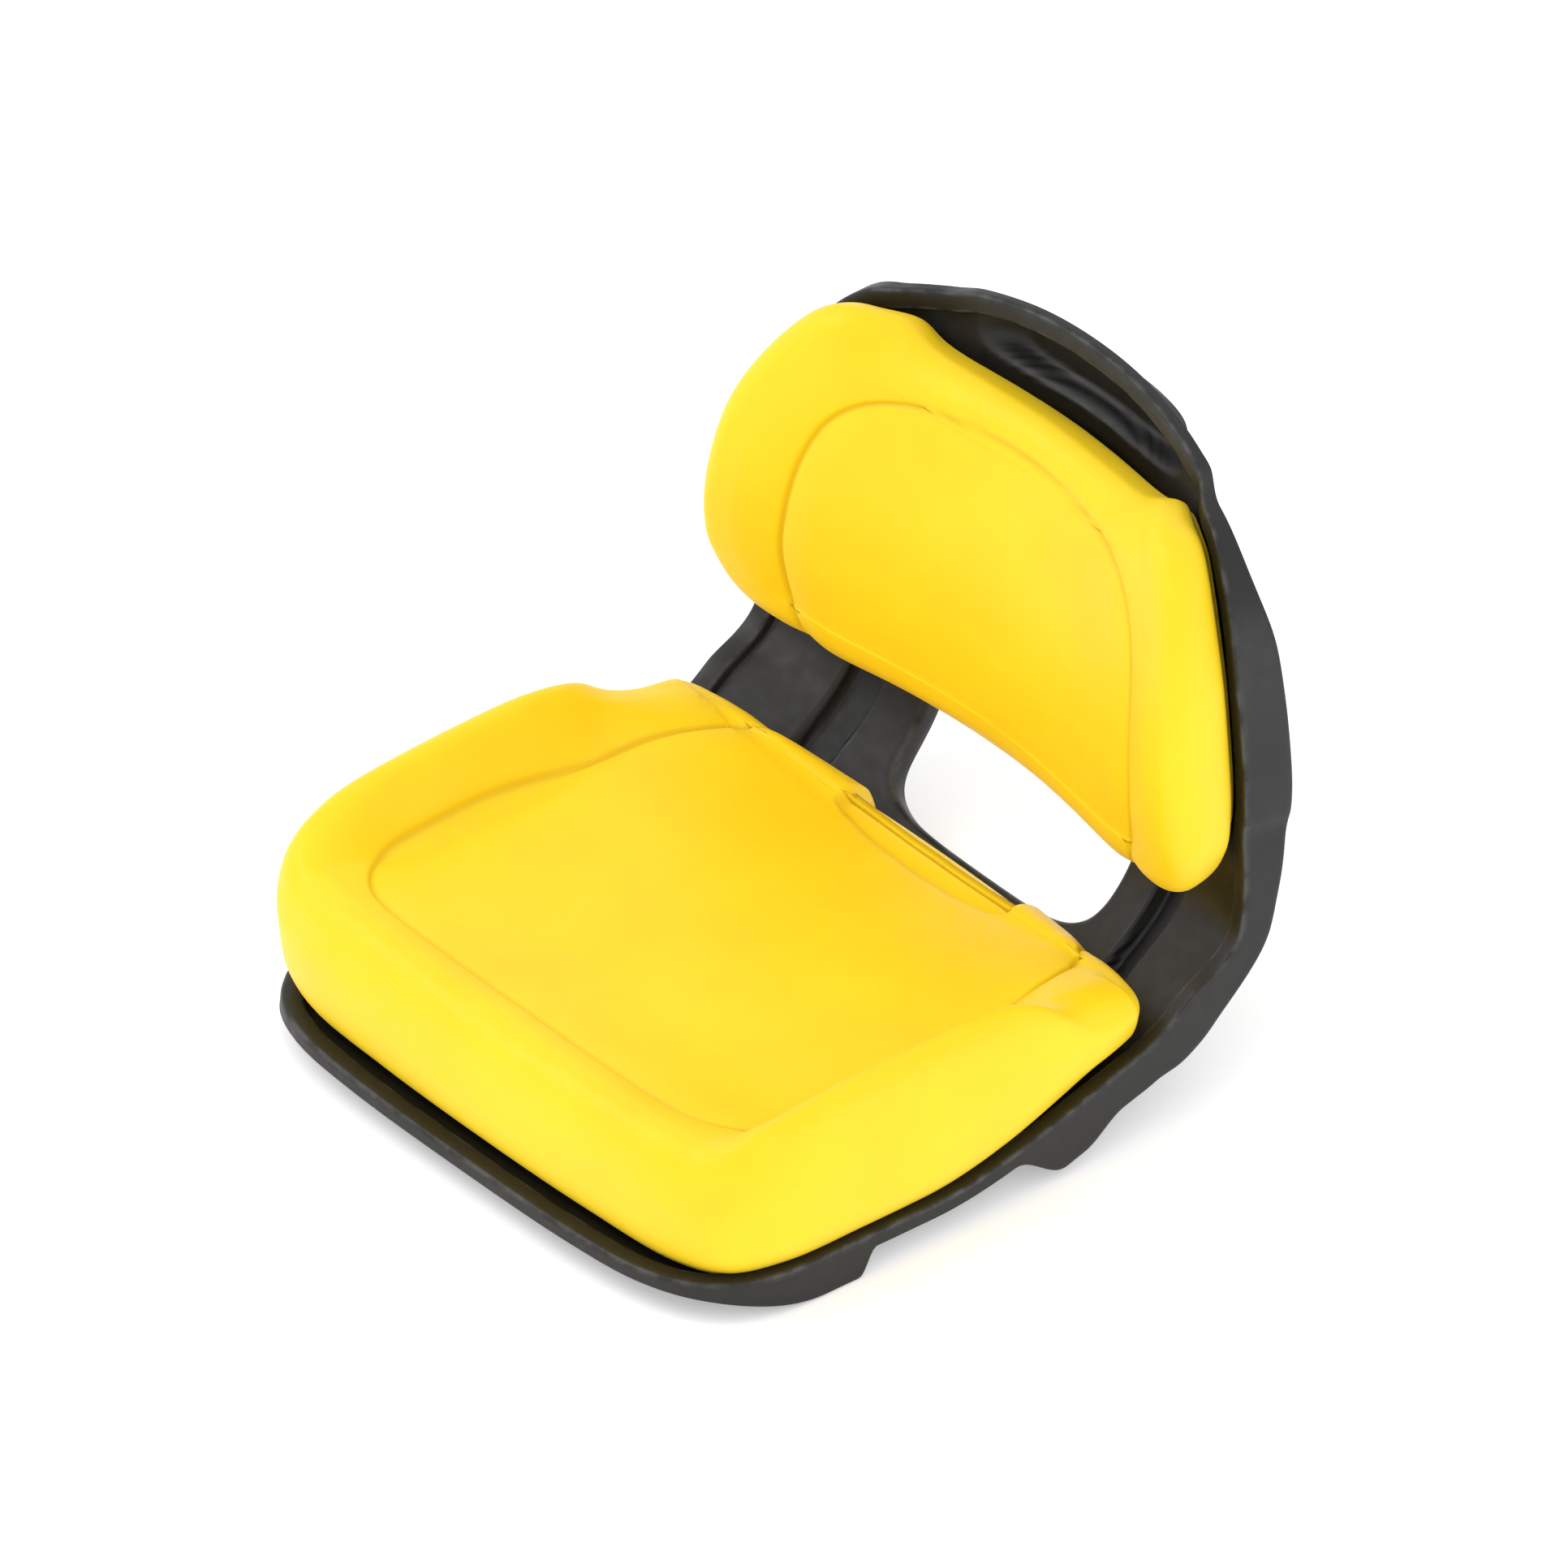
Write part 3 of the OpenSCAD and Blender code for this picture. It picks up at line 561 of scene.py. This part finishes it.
PADS = ("seat_cushion", "back_cushion")
SEAT_HALF = [
    (0, 8), (0.42 * HALF_W, 9), (0.73 * HALF_W, 14), (0.925 * HALF_W, 36), (1.003 * HALF_W, 84),
    (1.018 * HALF_W, 150), (1.02 * HALF_W, 230), (1.0 * HALF_W, 0.82 * PAN_DEPTH),
    (0.95 * HALF_W, PAN_DEPTH + 12), (0.84 * HALF_W, PAN_DEPTH + 44),
    (0.66 * HALF_W, PAN_DEPTH + 61), (0.36 * HALF_W, PAN_DEPTH + 75), (0, PAN_DEPTH + 79),
]
BACK_HALF = [
    (0, BACK_S - 4), (0.36 * HALF_W, BACK_S - 3), (0.62 * HALF_W, BACK_S - 1),
    (0.86 * HALF_W, BACK_S + 15), (0.965 * HALF_W, up(0.16)), (0.985 * HALF_W, up(0.28)),
    (0.965 * HALF_W, up(0.44)), (0.92 * HALF_W, up(0.6)), (0.82 * HALF_W, up(0.765)),
    (0.71 * HALF_W, up(0.868)), (0.56 * HALF_W, up(0.888)), (0.42 * HALF_W, up(0.85)),
    (0.2 * HALF_W, up(0.84)), (0, up(0.84)),
]
# Seam lines, right half, and the line that closes them where they run off the cushion
SEAT_SEAM = [(0, 60), (80, 60), (150, 63), (183, 79), (200, 107), (204, 160), (202, 232),
             (189, 328), (166, 422), (150, 480)]
BACK_SEAM = [(150, BACK_S - 60), (169, BACK_S + 16), (177, BACK_S + 73), (175, BACK_S + 113),
             (168, BACK_S + 156), (155, BACK_S + 189), (132, BACK_S + 212), (100, BACK_S + 225),
             (58, BACK_S + 231), (0, BACK_S + 233)]
# Side of a cushion: distance in from its outline, height of its base, share of the crown's height
PAD_SIDE = [
    (21, BASE_N, 0), (20, RIM_H - 1, 0), (14.5, CLEAR_N, 0), (8, CLEAR_N, 0.09), (4, CLEAR_N, 0.22),
    (1, CLEAR_N, 0.42), (0, CLEAR_N, 0.6), (3.5, CLEAR_N, 0.78), (9.5, CLEAR_N, 0.9),
    (18, CLEAR_N, 0.97), (32, CLEAR_N, 1),
]
SEAM_OFFSETS = (7, 4.6, 3.2, 2.3, 1.6, 1.0, 0.5, 0, -0.5, -1.0, -1.6, -2.3, -3.2, -4.6, -7)
SEAT_BOARD_REACH, BACK_BOARD_REACH = (0.64, 0.78, 0.66), (0.56, 0.72, 0.72)
SOFT_ACROSS, SOFT_ALONG = 52.0, 55.0
PAD_COUNT = 900
SIDE_STEPS = 4
BASE_ROWS = 2 * SIDE_STEPS
INNER_STEP = 3


def seat_crown(x, s):
    """Height of the seat cushion: raised sides, a lower front edge and middle, thin at the back."""
    bolster = 1.03 - 0.81 * ease((s - 0.65 * PAN_DEPTH) / (0.475 * PAN_DEPTH))
    back = ease((s - 0.60 * PAN_DEPTH) / (0.60 * PAN_DEPTH))
    middle = 1 - 0.35 * ease((s - 20) / 90) - 0.26 * back
    side = 1 - ease((0.93 * HALF_W - np.abs(x)) / (0.15 * HALF_W))
    return SEAT_PAD_H * (1 - 0.13 * ease((110 - s) / 110)) * (middle + (bolster - middle) * side)


def soft_seat_crown(x, s):
    """The crown as the foam rounds it off: its mean over a patch that widens towards the back."""
    wide = SOFT_ACROSS * ease((s - 0.7 * PAN_DEPTH) / (0.3 * PAN_DEPTH))
    steps = np.linspace(-1, 1, 7)
    total = sum(seat_crown(x + i * wide, s + j * SOFT_ALONG) for i in steps for j in steps)
    return total / len(steps) ** 2


def back_crown(x, s):
    """Height of the back cushion, thickest a third of the way up."""
    along = (
        1
        - 0.24 * ease((up(0.30) - s) / (0.40 * BACK_LEN))
        - 0.22 * ease((s - up(0.35)) / (0.5 * BACK_LEN))
    )
    across = 1 - 0.10 * ease((0.95 * HALF_W - np.abs(x)) / (0.3 * HALF_W))
    return BACK_PAD_H * along * across


class Cushion:
    """A cushion as flat rings: (x, s) and height of each point, from its base to its middle."""

    def __init__(self, half, mid, crown, seam, seam_ends, board_reach, seat):
        self.mid, self.crown, self.seat = np.array(mid, float), crown, seat
        self.seam = self.whole_seam(seam)
        ends = np.array([(x, s) for e in seam_ends for x, s in (e, (-e[0], e[1]))])
        dense = curve(both_sides(half), 40)

        def weight(p):
            gap = np.min(np.linalg.norm(p[:, None] - ends[None], axis=2), axis=1)
            return 1 + 2.2 * np.exp(-((gap / 26) ** 2))

        self.outline = resample(dense, PAD_COUNT, weight)
        self.normal = inward(self.outline)
        self.broad = self.normal.copy()
        for _ in range(300):
            self.broad = (np.roll(self.broad, 3, 0) + np.roll(self.broad, -3, 0)) / 2
        self.broad /= np.linalg.norm(self.broad, axis=1)[:, None]
        m = self.mid
        reach = np.where(self.outline[:, 1] < m[1], board_reach[1], board_reach[2])
        self.board = np.column_stack([self.outline[:, 0] * board_reach[0],
                                      m[1] + (self.outline[:, 1] - m[1]) * reach])
        self.board_normal = inward(self.board)

    def drawn_in(self, distance):
        """The outline moved inwards, by a smoother direction the further in it goes."""
        t = ease(distance / 28) if distance > 0 else 0.0
        n = self.normal * (1 - t) + self.broad * t
        return self.outline + n * (distance / np.linalg.norm(n, axis=1))[:, None]

    def whole_seam(self, half):
        """Both halves of the seam line, which stays open where it runs off the cushion."""
        half = curve(half, 16, closed=False)
        other = half[::-1] * [-1, 1]
        return np.vstack([other, half[1:]] if self.seat else [half, other[1:]])

    def rings(self, shrink=0.0):
        """Flat points and heights of the top and sides, with the form drawn in by `shrink`."""
        flat, height = [], []
        side = curve(PAD_SIDE, SIDE_STEPS, closed=False)
        for inset, base, share in side:
            p = self.drawn_in(inset + shrink)
            h = self.crown(p[:, 0], p[:, 1]) - shrink
            flat.append(p)
            height.append(base + share * (h - CLEAR_N))
        edge = self.drawn_in(side[-1, 0] + shrink)
        d = edge - self.mid
        radius = np.linalg.norm(d, axis=1)
        seam = -6 * np.logaddexp(-self.seam_radius(d) / 6, -(radius - 9) / 6)
        reach = [radius + (seam + SEAM_OFFSETS[0] - radius) * t for t in (0.3, 0.62, 0.86)]
        reach += [seam + offset for offset in SEAM_OFFSETS]
        inner = seam + SEAM_OFFSETS[-1]
        shares = np.concatenate([np.linspace(0.97, 0.72, 10), np.linspace(0.66, 0.06, 11)])
        reach += [inner * t for t in shares]
        for r in reach:
            p = self.mid + d * (r / radius)[:, None]
            flat.append(p)
            height.append(self.crown(p[:, 0], p[:, 1]) - shrink)
        return np.array(flat), np.array(height)

    def seam_radius(self, d):
        """Distance from the middle to the seam in each direction."""
        around = self.seam - self.mid
        angle = np.unwrap(np.arctan2(around[:, 1], around[:, 0]))
        out = np.linalg.norm(around, axis=1)
        order = np.argsort(angle)
        angle, out = angle[order], out[order]
        want = np.arctan2(d[:, 1], d[:, 0])
        want = angle[0] + np.mod(want - angle[0], 2 * math.pi)
        return np.interp(want, np.append(angle, angle[0] + 2 * math.pi), np.append(out, out[0]))

    def seam_distance(self, flat):
        """Distance of every flat point from the seam line."""
        a, b = self.seam[:-1], self.seam[1:]
        ab = b - a
        out = []
        for ring in flat:
            ap = ring[:, None] - a[None]
            t = np.clip((ap * ab).sum(2) / (ab * ab).sum(1), 0, 1)
            out.append(np.min(np.linalg.norm(ap - t[..., None] * ab, axis=2), axis=1))
        return np.array(out)

    def board_ring(self, grow, n):
        """The board's outline, grown a little, at height n over the board's lower face."""
        p = self.board - self.board_normal * grow
        if self.seat:
            return np.column_stack([p[:, 0], FRONT_Y + p[:, 1], np.full(len(p), SEAT_BOARD_Z + n)])
        return place(p, BACK_BOARD_N + n - lift(p[:, 0], p[:, 1]))


def grid_normals(grid, pole):
    """Unit normals of rings that close round, out of the cushion."""
    around = np.roll(grid, -1, 1) - np.roll(grid, 1, 1)
    along = np.empty_like(grid)
    along[1:-1] = grid[2:] - grid[:-2]
    along[0] = grid[1] - grid[0]
    along[-1] = pole - grid[-2]
    n = np.cross(around, along)
    return n / np.maximum(np.linalg.norm(n, axis=2), 1e-9)[..., None]


VOXEL = 0.0055
CLOTH_FRAMES = 20
PRESSURE = 4.0
CAP = 7.0
PULL = 3.0
COARSE = 5
CARRY_STEP = 3


def points_of(mesh):
    """A mesh's points in metres."""
    out = np.empty(len(mesh.vertices) * 3)
    mesh.vertices.foreach_get("co", out)
    return out.reshape(-1, 3)


def swell(name, coords, faces, fixed):
    """Blows a closed form up as sewn cloth: its points and how each one moved, in mm."""
    raw = make_object(name + "_form", coords, faces)
    remesh = raw.modifiers.new("Remesh", "REMESH")
    remesh.mode, remesh.voxel_size = "VOXEL", VOXEL
    graph = bpy.context.evaluated_depsgraph_get()
    mesh = bpy.data.meshes.new_from_object(raw.evaluated_get(graph))
    bpy.data.objects.remove(raw)
    ob = bpy.data.objects.new(name + "_cloth", mesh)
    bpy.context.scene.collection.objects.link(ob)
    rest = points_of(mesh)
    near = tree_of(coords * MM)
    held = [i for i, p in enumerate(rest) if fixed[near.find(p)[1]]]
    group = ob.vertex_groups.new(name="held")
    group.add(held, 1.0, "REPLACE")
    cloth = ob.modifiers.new("Cloth", "CLOTH")
    s = cloth.settings
    s.quality = 6
    s.mass = 0.3
    s.tension_stiffness = s.compression_stiffness = 18
    s.shear_stiffness = 12
    s.bending_stiffness = 3
    s.use_pressure = True
    s.uniform_pressure_force = PRESSURE
    s.vertex_group_mass = "held"
    s.effector_weights.gravity = 0
    cloth.collision_settings.use_collision = False
    scene = bpy.context.scene
    for frame_number in range(1, CLOTH_FRAMES + 1):
        scene.frame_set(frame_number)
    graph = bpy.context.evaluated_depsgraph_get()
    move = (points_of(ob.evaluated_get(graph).to_mesh()) - rest) / MM
    length = np.linalg.norm(move, axis=1)[:, None]
    move = move * np.tanh(length / CAP) * CAP / np.maximum(length, 1e-6)
    bpy.data.objects.remove(ob)
    scene.frame_set(1)
    return rest / MM, move


def tree_of(points):
    tree = KDTree(len(points))
    for i, p in enumerate(points):
        tree.insert(p, i)
    tree.balance()
    return tree


def carry(grid, rest, move, near=6):
    """Each grid point takes the mean movement of the cloth points around it."""
    tree = tree_of(rest)
    sparse = grid[:, ::CARRY_STEP]
    flat = sparse.reshape(-1, 3)
    found = np.array([[f[1:] for f in tree.find_n(p, near)] for p in flat])
    w = 1 / (found[..., 1] + 0.5) ** 2
    got = (w[..., None] * move[found[..., 0].astype(int)]).sum(1) / w.sum(1)[:, None]
    got = got.reshape(sparse.shape)
    out = np.empty_like(grid)
    for k in range(CARRY_STEP):
        share = k / CARRY_STEP
        out[:, k::CARRY_STEP] = got * (1 - share) + np.roll(got, -1, 1) * share
    for _ in range(6):
        out = (np.roll(out, 2, 1) + np.roll(out, -2, 1) + 2 * out) / 4
        out[1:-1] = (out[:-2] + out[2:] + 2 * out[1:-1]) / 4
    return out


def cloth_pull(name, pad, grid, pole):
    """How far a blown-up cloth stands out or in at each point, over the mean of its ring."""
    rows = sorted(set(range(0, len(grid), 2)) | {len(grid) - 1})
    small = grid[rows][:, ::COARSE]
    m, n = small.shape[:2]
    points = np.vstack([small.reshape(-1, 3), [place(pad.mid, BASE_N)], [pole]])
    still = np.append(np.repeat(np.array(rows) < BASE_ROWS, n), [True, False])
    move = carry(grid, *swell(name, points, pod_faces(m, n), still))
    out = (move * grid_normals(grid, pole)).sum(2)
    return PULL * np.tanh((out - out.mean(1)[:, None]) / PULL)


def deepest_near(press):
    """The deepest of the points up to three rows and columns away."""
    for _ in range(3):
        for axis in (0, 1):
            beside = np.maximum(np.roll(press, 1, axis), np.roll(press, -1, axis))
            press = np.maximum(press, beside)
    return press


def closed_pod(name, rings, marks=None):
    """A closed object from rings, with the means of its two end rings as its poles."""
    m, n = rings.shape[:2]
    points = np.vstack([rings.reshape(-1, 3), [rings[0].mean(0)], [rings[-1].mean(0)]])
    return make_object(name, points, pod_faces(m, n), marks)


def build_cushion(name, pad, detail):
    """Cover and foam: the form takes the pull of blown-up cloth, then its seams are pressed in."""
    flat, height = pad.rings()
    grid = place(flat, height)
    pole = place(pad.mid, pad.crown(*pad.mid))
    # the base keeps the outline that it has on the shell
    share = ease(np.arange(len(grid)) / (2.4 * SIDE_STEPS) - 0.6)[:, None]
    out = cloth_pull(name, pad, grid, pole)
    grid = grid + grid_normals(grid, pole) * (out * share)[..., None]
    press, shade = detail(flat, pad.seam_distance(flat))
    normal = grid_normals(grid, grid[-1].mean(0))
    # the inner faces have fewer rows, so they stay under the deepest point near each of theirs
    inner_grid = grid - normal * (deepest_near(press) * share)[..., None]
    grid = grid - normal * (press * share)[..., None]
    above_base = np.clip(np.arange(len(grid)) - 2, 0, 1)[:, None, None]
    inner_rows = sorted(set(range(0, len(grid), INNER_STEP)) | {len(grid) - 1})

    def offset(amount):
        low = place(*pad.rings(amount))
        return np.where(above_base > 0, inner_grid - normal * amount, low)[inner_rows]

    hem = np.array([pad.board_ring(GAP, -SKIN - GAP), pad.board_ring(-HEM_W, -SKIN - GAP),
                    pad.board_ring(-HEM_W, -GAP), pad.board_ring(GAP, -GAP)])
    rings = np.concatenate([grid[::-1], hem, offset(SKIN)])
    # painted shade in the seam grooves, carried to the vinyl material by the seam attribute
    painted_seam_shade = np.zeros(rings.shape[0] * rings.shape[1] + 2)
    painted_seam_shade[: shade.size] = shade[::-1].ravel()
    cover = closed_pod(name + "_cover", rings, {"seam": painted_seam_shade})
    board_bed = np.array([pad.board_ring(GAP, 0), pad.board_ring(GAP, BOARD_T + GAP)])
    foam_rings = np.concatenate([offset(SKIN + GAP)[::-1], board_bed])
    return cover, closed_pod(name + "_foam", foam_rings)


SEAM_DEPTH, SEAM_HALF = 2.4, 1.9
PINCH_DEPTH, PINCH_HALF = 1.8, 11.0
SCOOP_DEPTH, SCOOP_HALF_W = 8.0, 88.0


def seam_press(away):
    """How deep the vinyl is drawn in at a distance from the seam, and the share of the groove,
    which also sets the painted seam shade.
    """
    groove = np.exp(-((away / SEAM_HALF) ** 2))
    return SEAM_DEPTH * groove + PINCH_DEPTH * np.exp(-((away / PINCH_HALF) ** 2)), groove


def seat_detail(flat, away):
    """The seam, and the scoop at the back of the seat in front of the window."""
    press, groove = seam_press(away)
    x, s = flat[..., 0], flat[..., 1]
    edge = 401 + 10 * (x / 84) ** 4
    scoop = SCOOP_DEPTH * ease((s - edge) / 8) * ease((SCOOP_HALF_W - np.abs(x)) / 10)
    return press + scoop, groove


def back_detail(_, away):
    return seam_press(away)


def build_cushions(vinyl, foam):
    seat = Cushion(SEAT_HALF, (0, 0.52 * PAN_DEPTH), soft_seat_crown, SEAT_SEAM, [(160, 446)],
                   SEAT_BOARD_REACH, True)
    back = Cushion(BACK_HALF, (0, up(0.38)), back_crown, BACK_SEAM, [(164, BACK_S - 8)],
                   BACK_BOARD_REACH, False)
    for name, pad, detail in zip(PADS, (seat, back), (seat_detail, back_detail)):
        cover, block = build_cushion(name, pad, detail)
        cover.data.materials.append(vinyl)
        block.data.materials.append(foam)
        for piece, node, slot in ((cover, "_cover", "yellow_vinyl"), (block, "_foam", "foam")):
            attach(piece, "seat")
            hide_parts(name + node)


# ---- Stage ----


FLOOR_HALF, FLOOR_DROP = 12.0, 0.0005
WORLD_STRENGTH = 1.08


def area_light(name, position, target, size, power):
    data = bpy.data.lights.new(name, "AREA")
    data.shape, data.size, data.energy = "DISK", size, power
    ob = bpy.data.objects.new(name, data)
    ob.location = position
    ob.rotation_mode = "QUATERNION"
    ob.rotation_quaternion = (Vector(target) - Vector(position)).to_track_quat("-Z", "Y")
    bpy.context.scene.collection.objects.link(ob)


def build_stage():
    """A pale floor, an even white world and three soft lights."""
    mesh = bpy.data.meshes.new("floor")
    corners = [(x * FLOOR_HALF, y * FLOOR_HALF, 0) for x, y in ((-1, -1), (1, -1), (1, 1), (-1, 1))]
    mesh.from_pydata(corners, [], [(0, 1, 2, 3)])
    floor = bpy.data.objects.new("floor", mesh)
    floor.location = (0, 0, -FLOOR_DROP)
    bpy.context.scene.collection.objects.link(floor)
    m = Nodes("floor_paint")
    m.set(Base_Color=(0.9, 0.9, 0.9, 1), Roughness=0.9, Specular_IOR_Level=0.1,
          Emission_Color=(1, 1, 1, 1), Emission_Strength=0.3)
    mesh.materials.append(m.material)
    world = bpy.data.worlds.new("studio")
    world.use_nodes = True
    world.node_tree.nodes["Background"].inputs["Color"].default_value = (1, 1, 1, 1)
    world.node_tree.nodes["Background"].inputs["Strength"].default_value = WORLD_STRENGTH
    scene = bpy.context.scene
    scene.world = world
    scene.view_settings.view_transform = "Standard"
    area_light("key", (-1.4, -1.5, 2.4), (0, 0, 0.15), 1.8, 22)
    area_light("fill", (2.2, -0.6, 1.6), (0, 0, 0.2), 1.6, 5)
    area_light("side", (2.4, 0.9, 0.35), (0, 0.1, 0.2), 1.4, 9)


# The photo shows 1.85 pixels of its 1932 for each mm, in a parallel view
PHOTO_SIZE, PIXELS_PER_MM = 1932, 1.85
CAMERA_AZIMUTH, CAMERA_ELEVATION = math.radians(49.4), math.radians(36.9)
CAMERA_AIM_Z, CAMERA_DISTANCE = 0.1998, 4


def build_camera():
    data = bpy.data.cameras.new("camera")
    data.type = "ORTHO"
    data.ortho_scale = PHOTO_SIZE / PIXELS_PER_MM * MM
    cam = bpy.data.objects.new("camera", data)
    a, e = CAMERA_AZIMUTH, CAMERA_ELEVATION
    back = Vector((math.sin(a) * math.cos(e), -math.cos(a) * math.cos(e), math.sin(e)))
    cam.location = Vector((0, 0, CAMERA_AIM_Z)) + back * CAMERA_DISTANCE
    cam.rotation_mode = "QUATERNION"
    cam.rotation_quaternion = (-back).to_track_quat("-Z", "Y")
    data.clip_end = 30
    bpy.context.scene.collection.objects.link(cam)
    bpy.context.scene.camera = cam


def dress(nodes, material):
    """Gives CAD nodes a material and leaves their shape alone."""
    for name in nodes:
        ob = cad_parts[name]
        if not ob.material_slots:
            ob.data.materials.append(material)
        for used in ob.material_slots:
            used.material = material


vinyl, foam, wood = vinyl_material(), foam_material(), wood_material()
# the third colour of each plastic is its painted edge highlight
black = plastic_material("shell_plastic", colour(17, 17, 16), colour(25, 24, 23),
                         colour(84, 84, 84), (0.38, 0.5))
grey = plastic_material("switch_plastic", colour(78, 82, 86), colour(92, 96, 100),
                        colour(140, 140, 140))
cream = plastic_material("plunger_plastic", colour(214, 210, 200), colour(226, 222, 212),
                         colour(240, 238, 232))
steel = metal_material("zinc_steel", colour(150, 152, 156), colour(196, 198, 202),
                       (0.28, 0.45), (1, 1, 6))
spring = metal_material("spring_steel", colour(120, 122, 126), colour(176, 178, 182),
                        (0.2, 0.35), (6, 6, 1))
brass = metal_material("brass", colour(178, 142, 70), colour(214, 182, 106),
                       (0.25, 0.42), (1, 1, 5))

shell = build_shell()
shell.data.materials.append(black)
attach(shell, "seat")
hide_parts("seat_shell")

build_cushions(vinyl, foam)

dress([p + "_board" for p in PADS], wood)
dress([p + part for p in PADS for part in ("_staples", "_tee_nuts", "_screws", "_washers")], steel)
dress(["mount_inserts", "switch_contact_disc", "switch_terminals"], brass)
dress(["switch_housing", "switch_cap"], grey)
dress(["switch_plunger"], cream)
dress(["switch_spring"], spring)

build_stage()
build_camera()
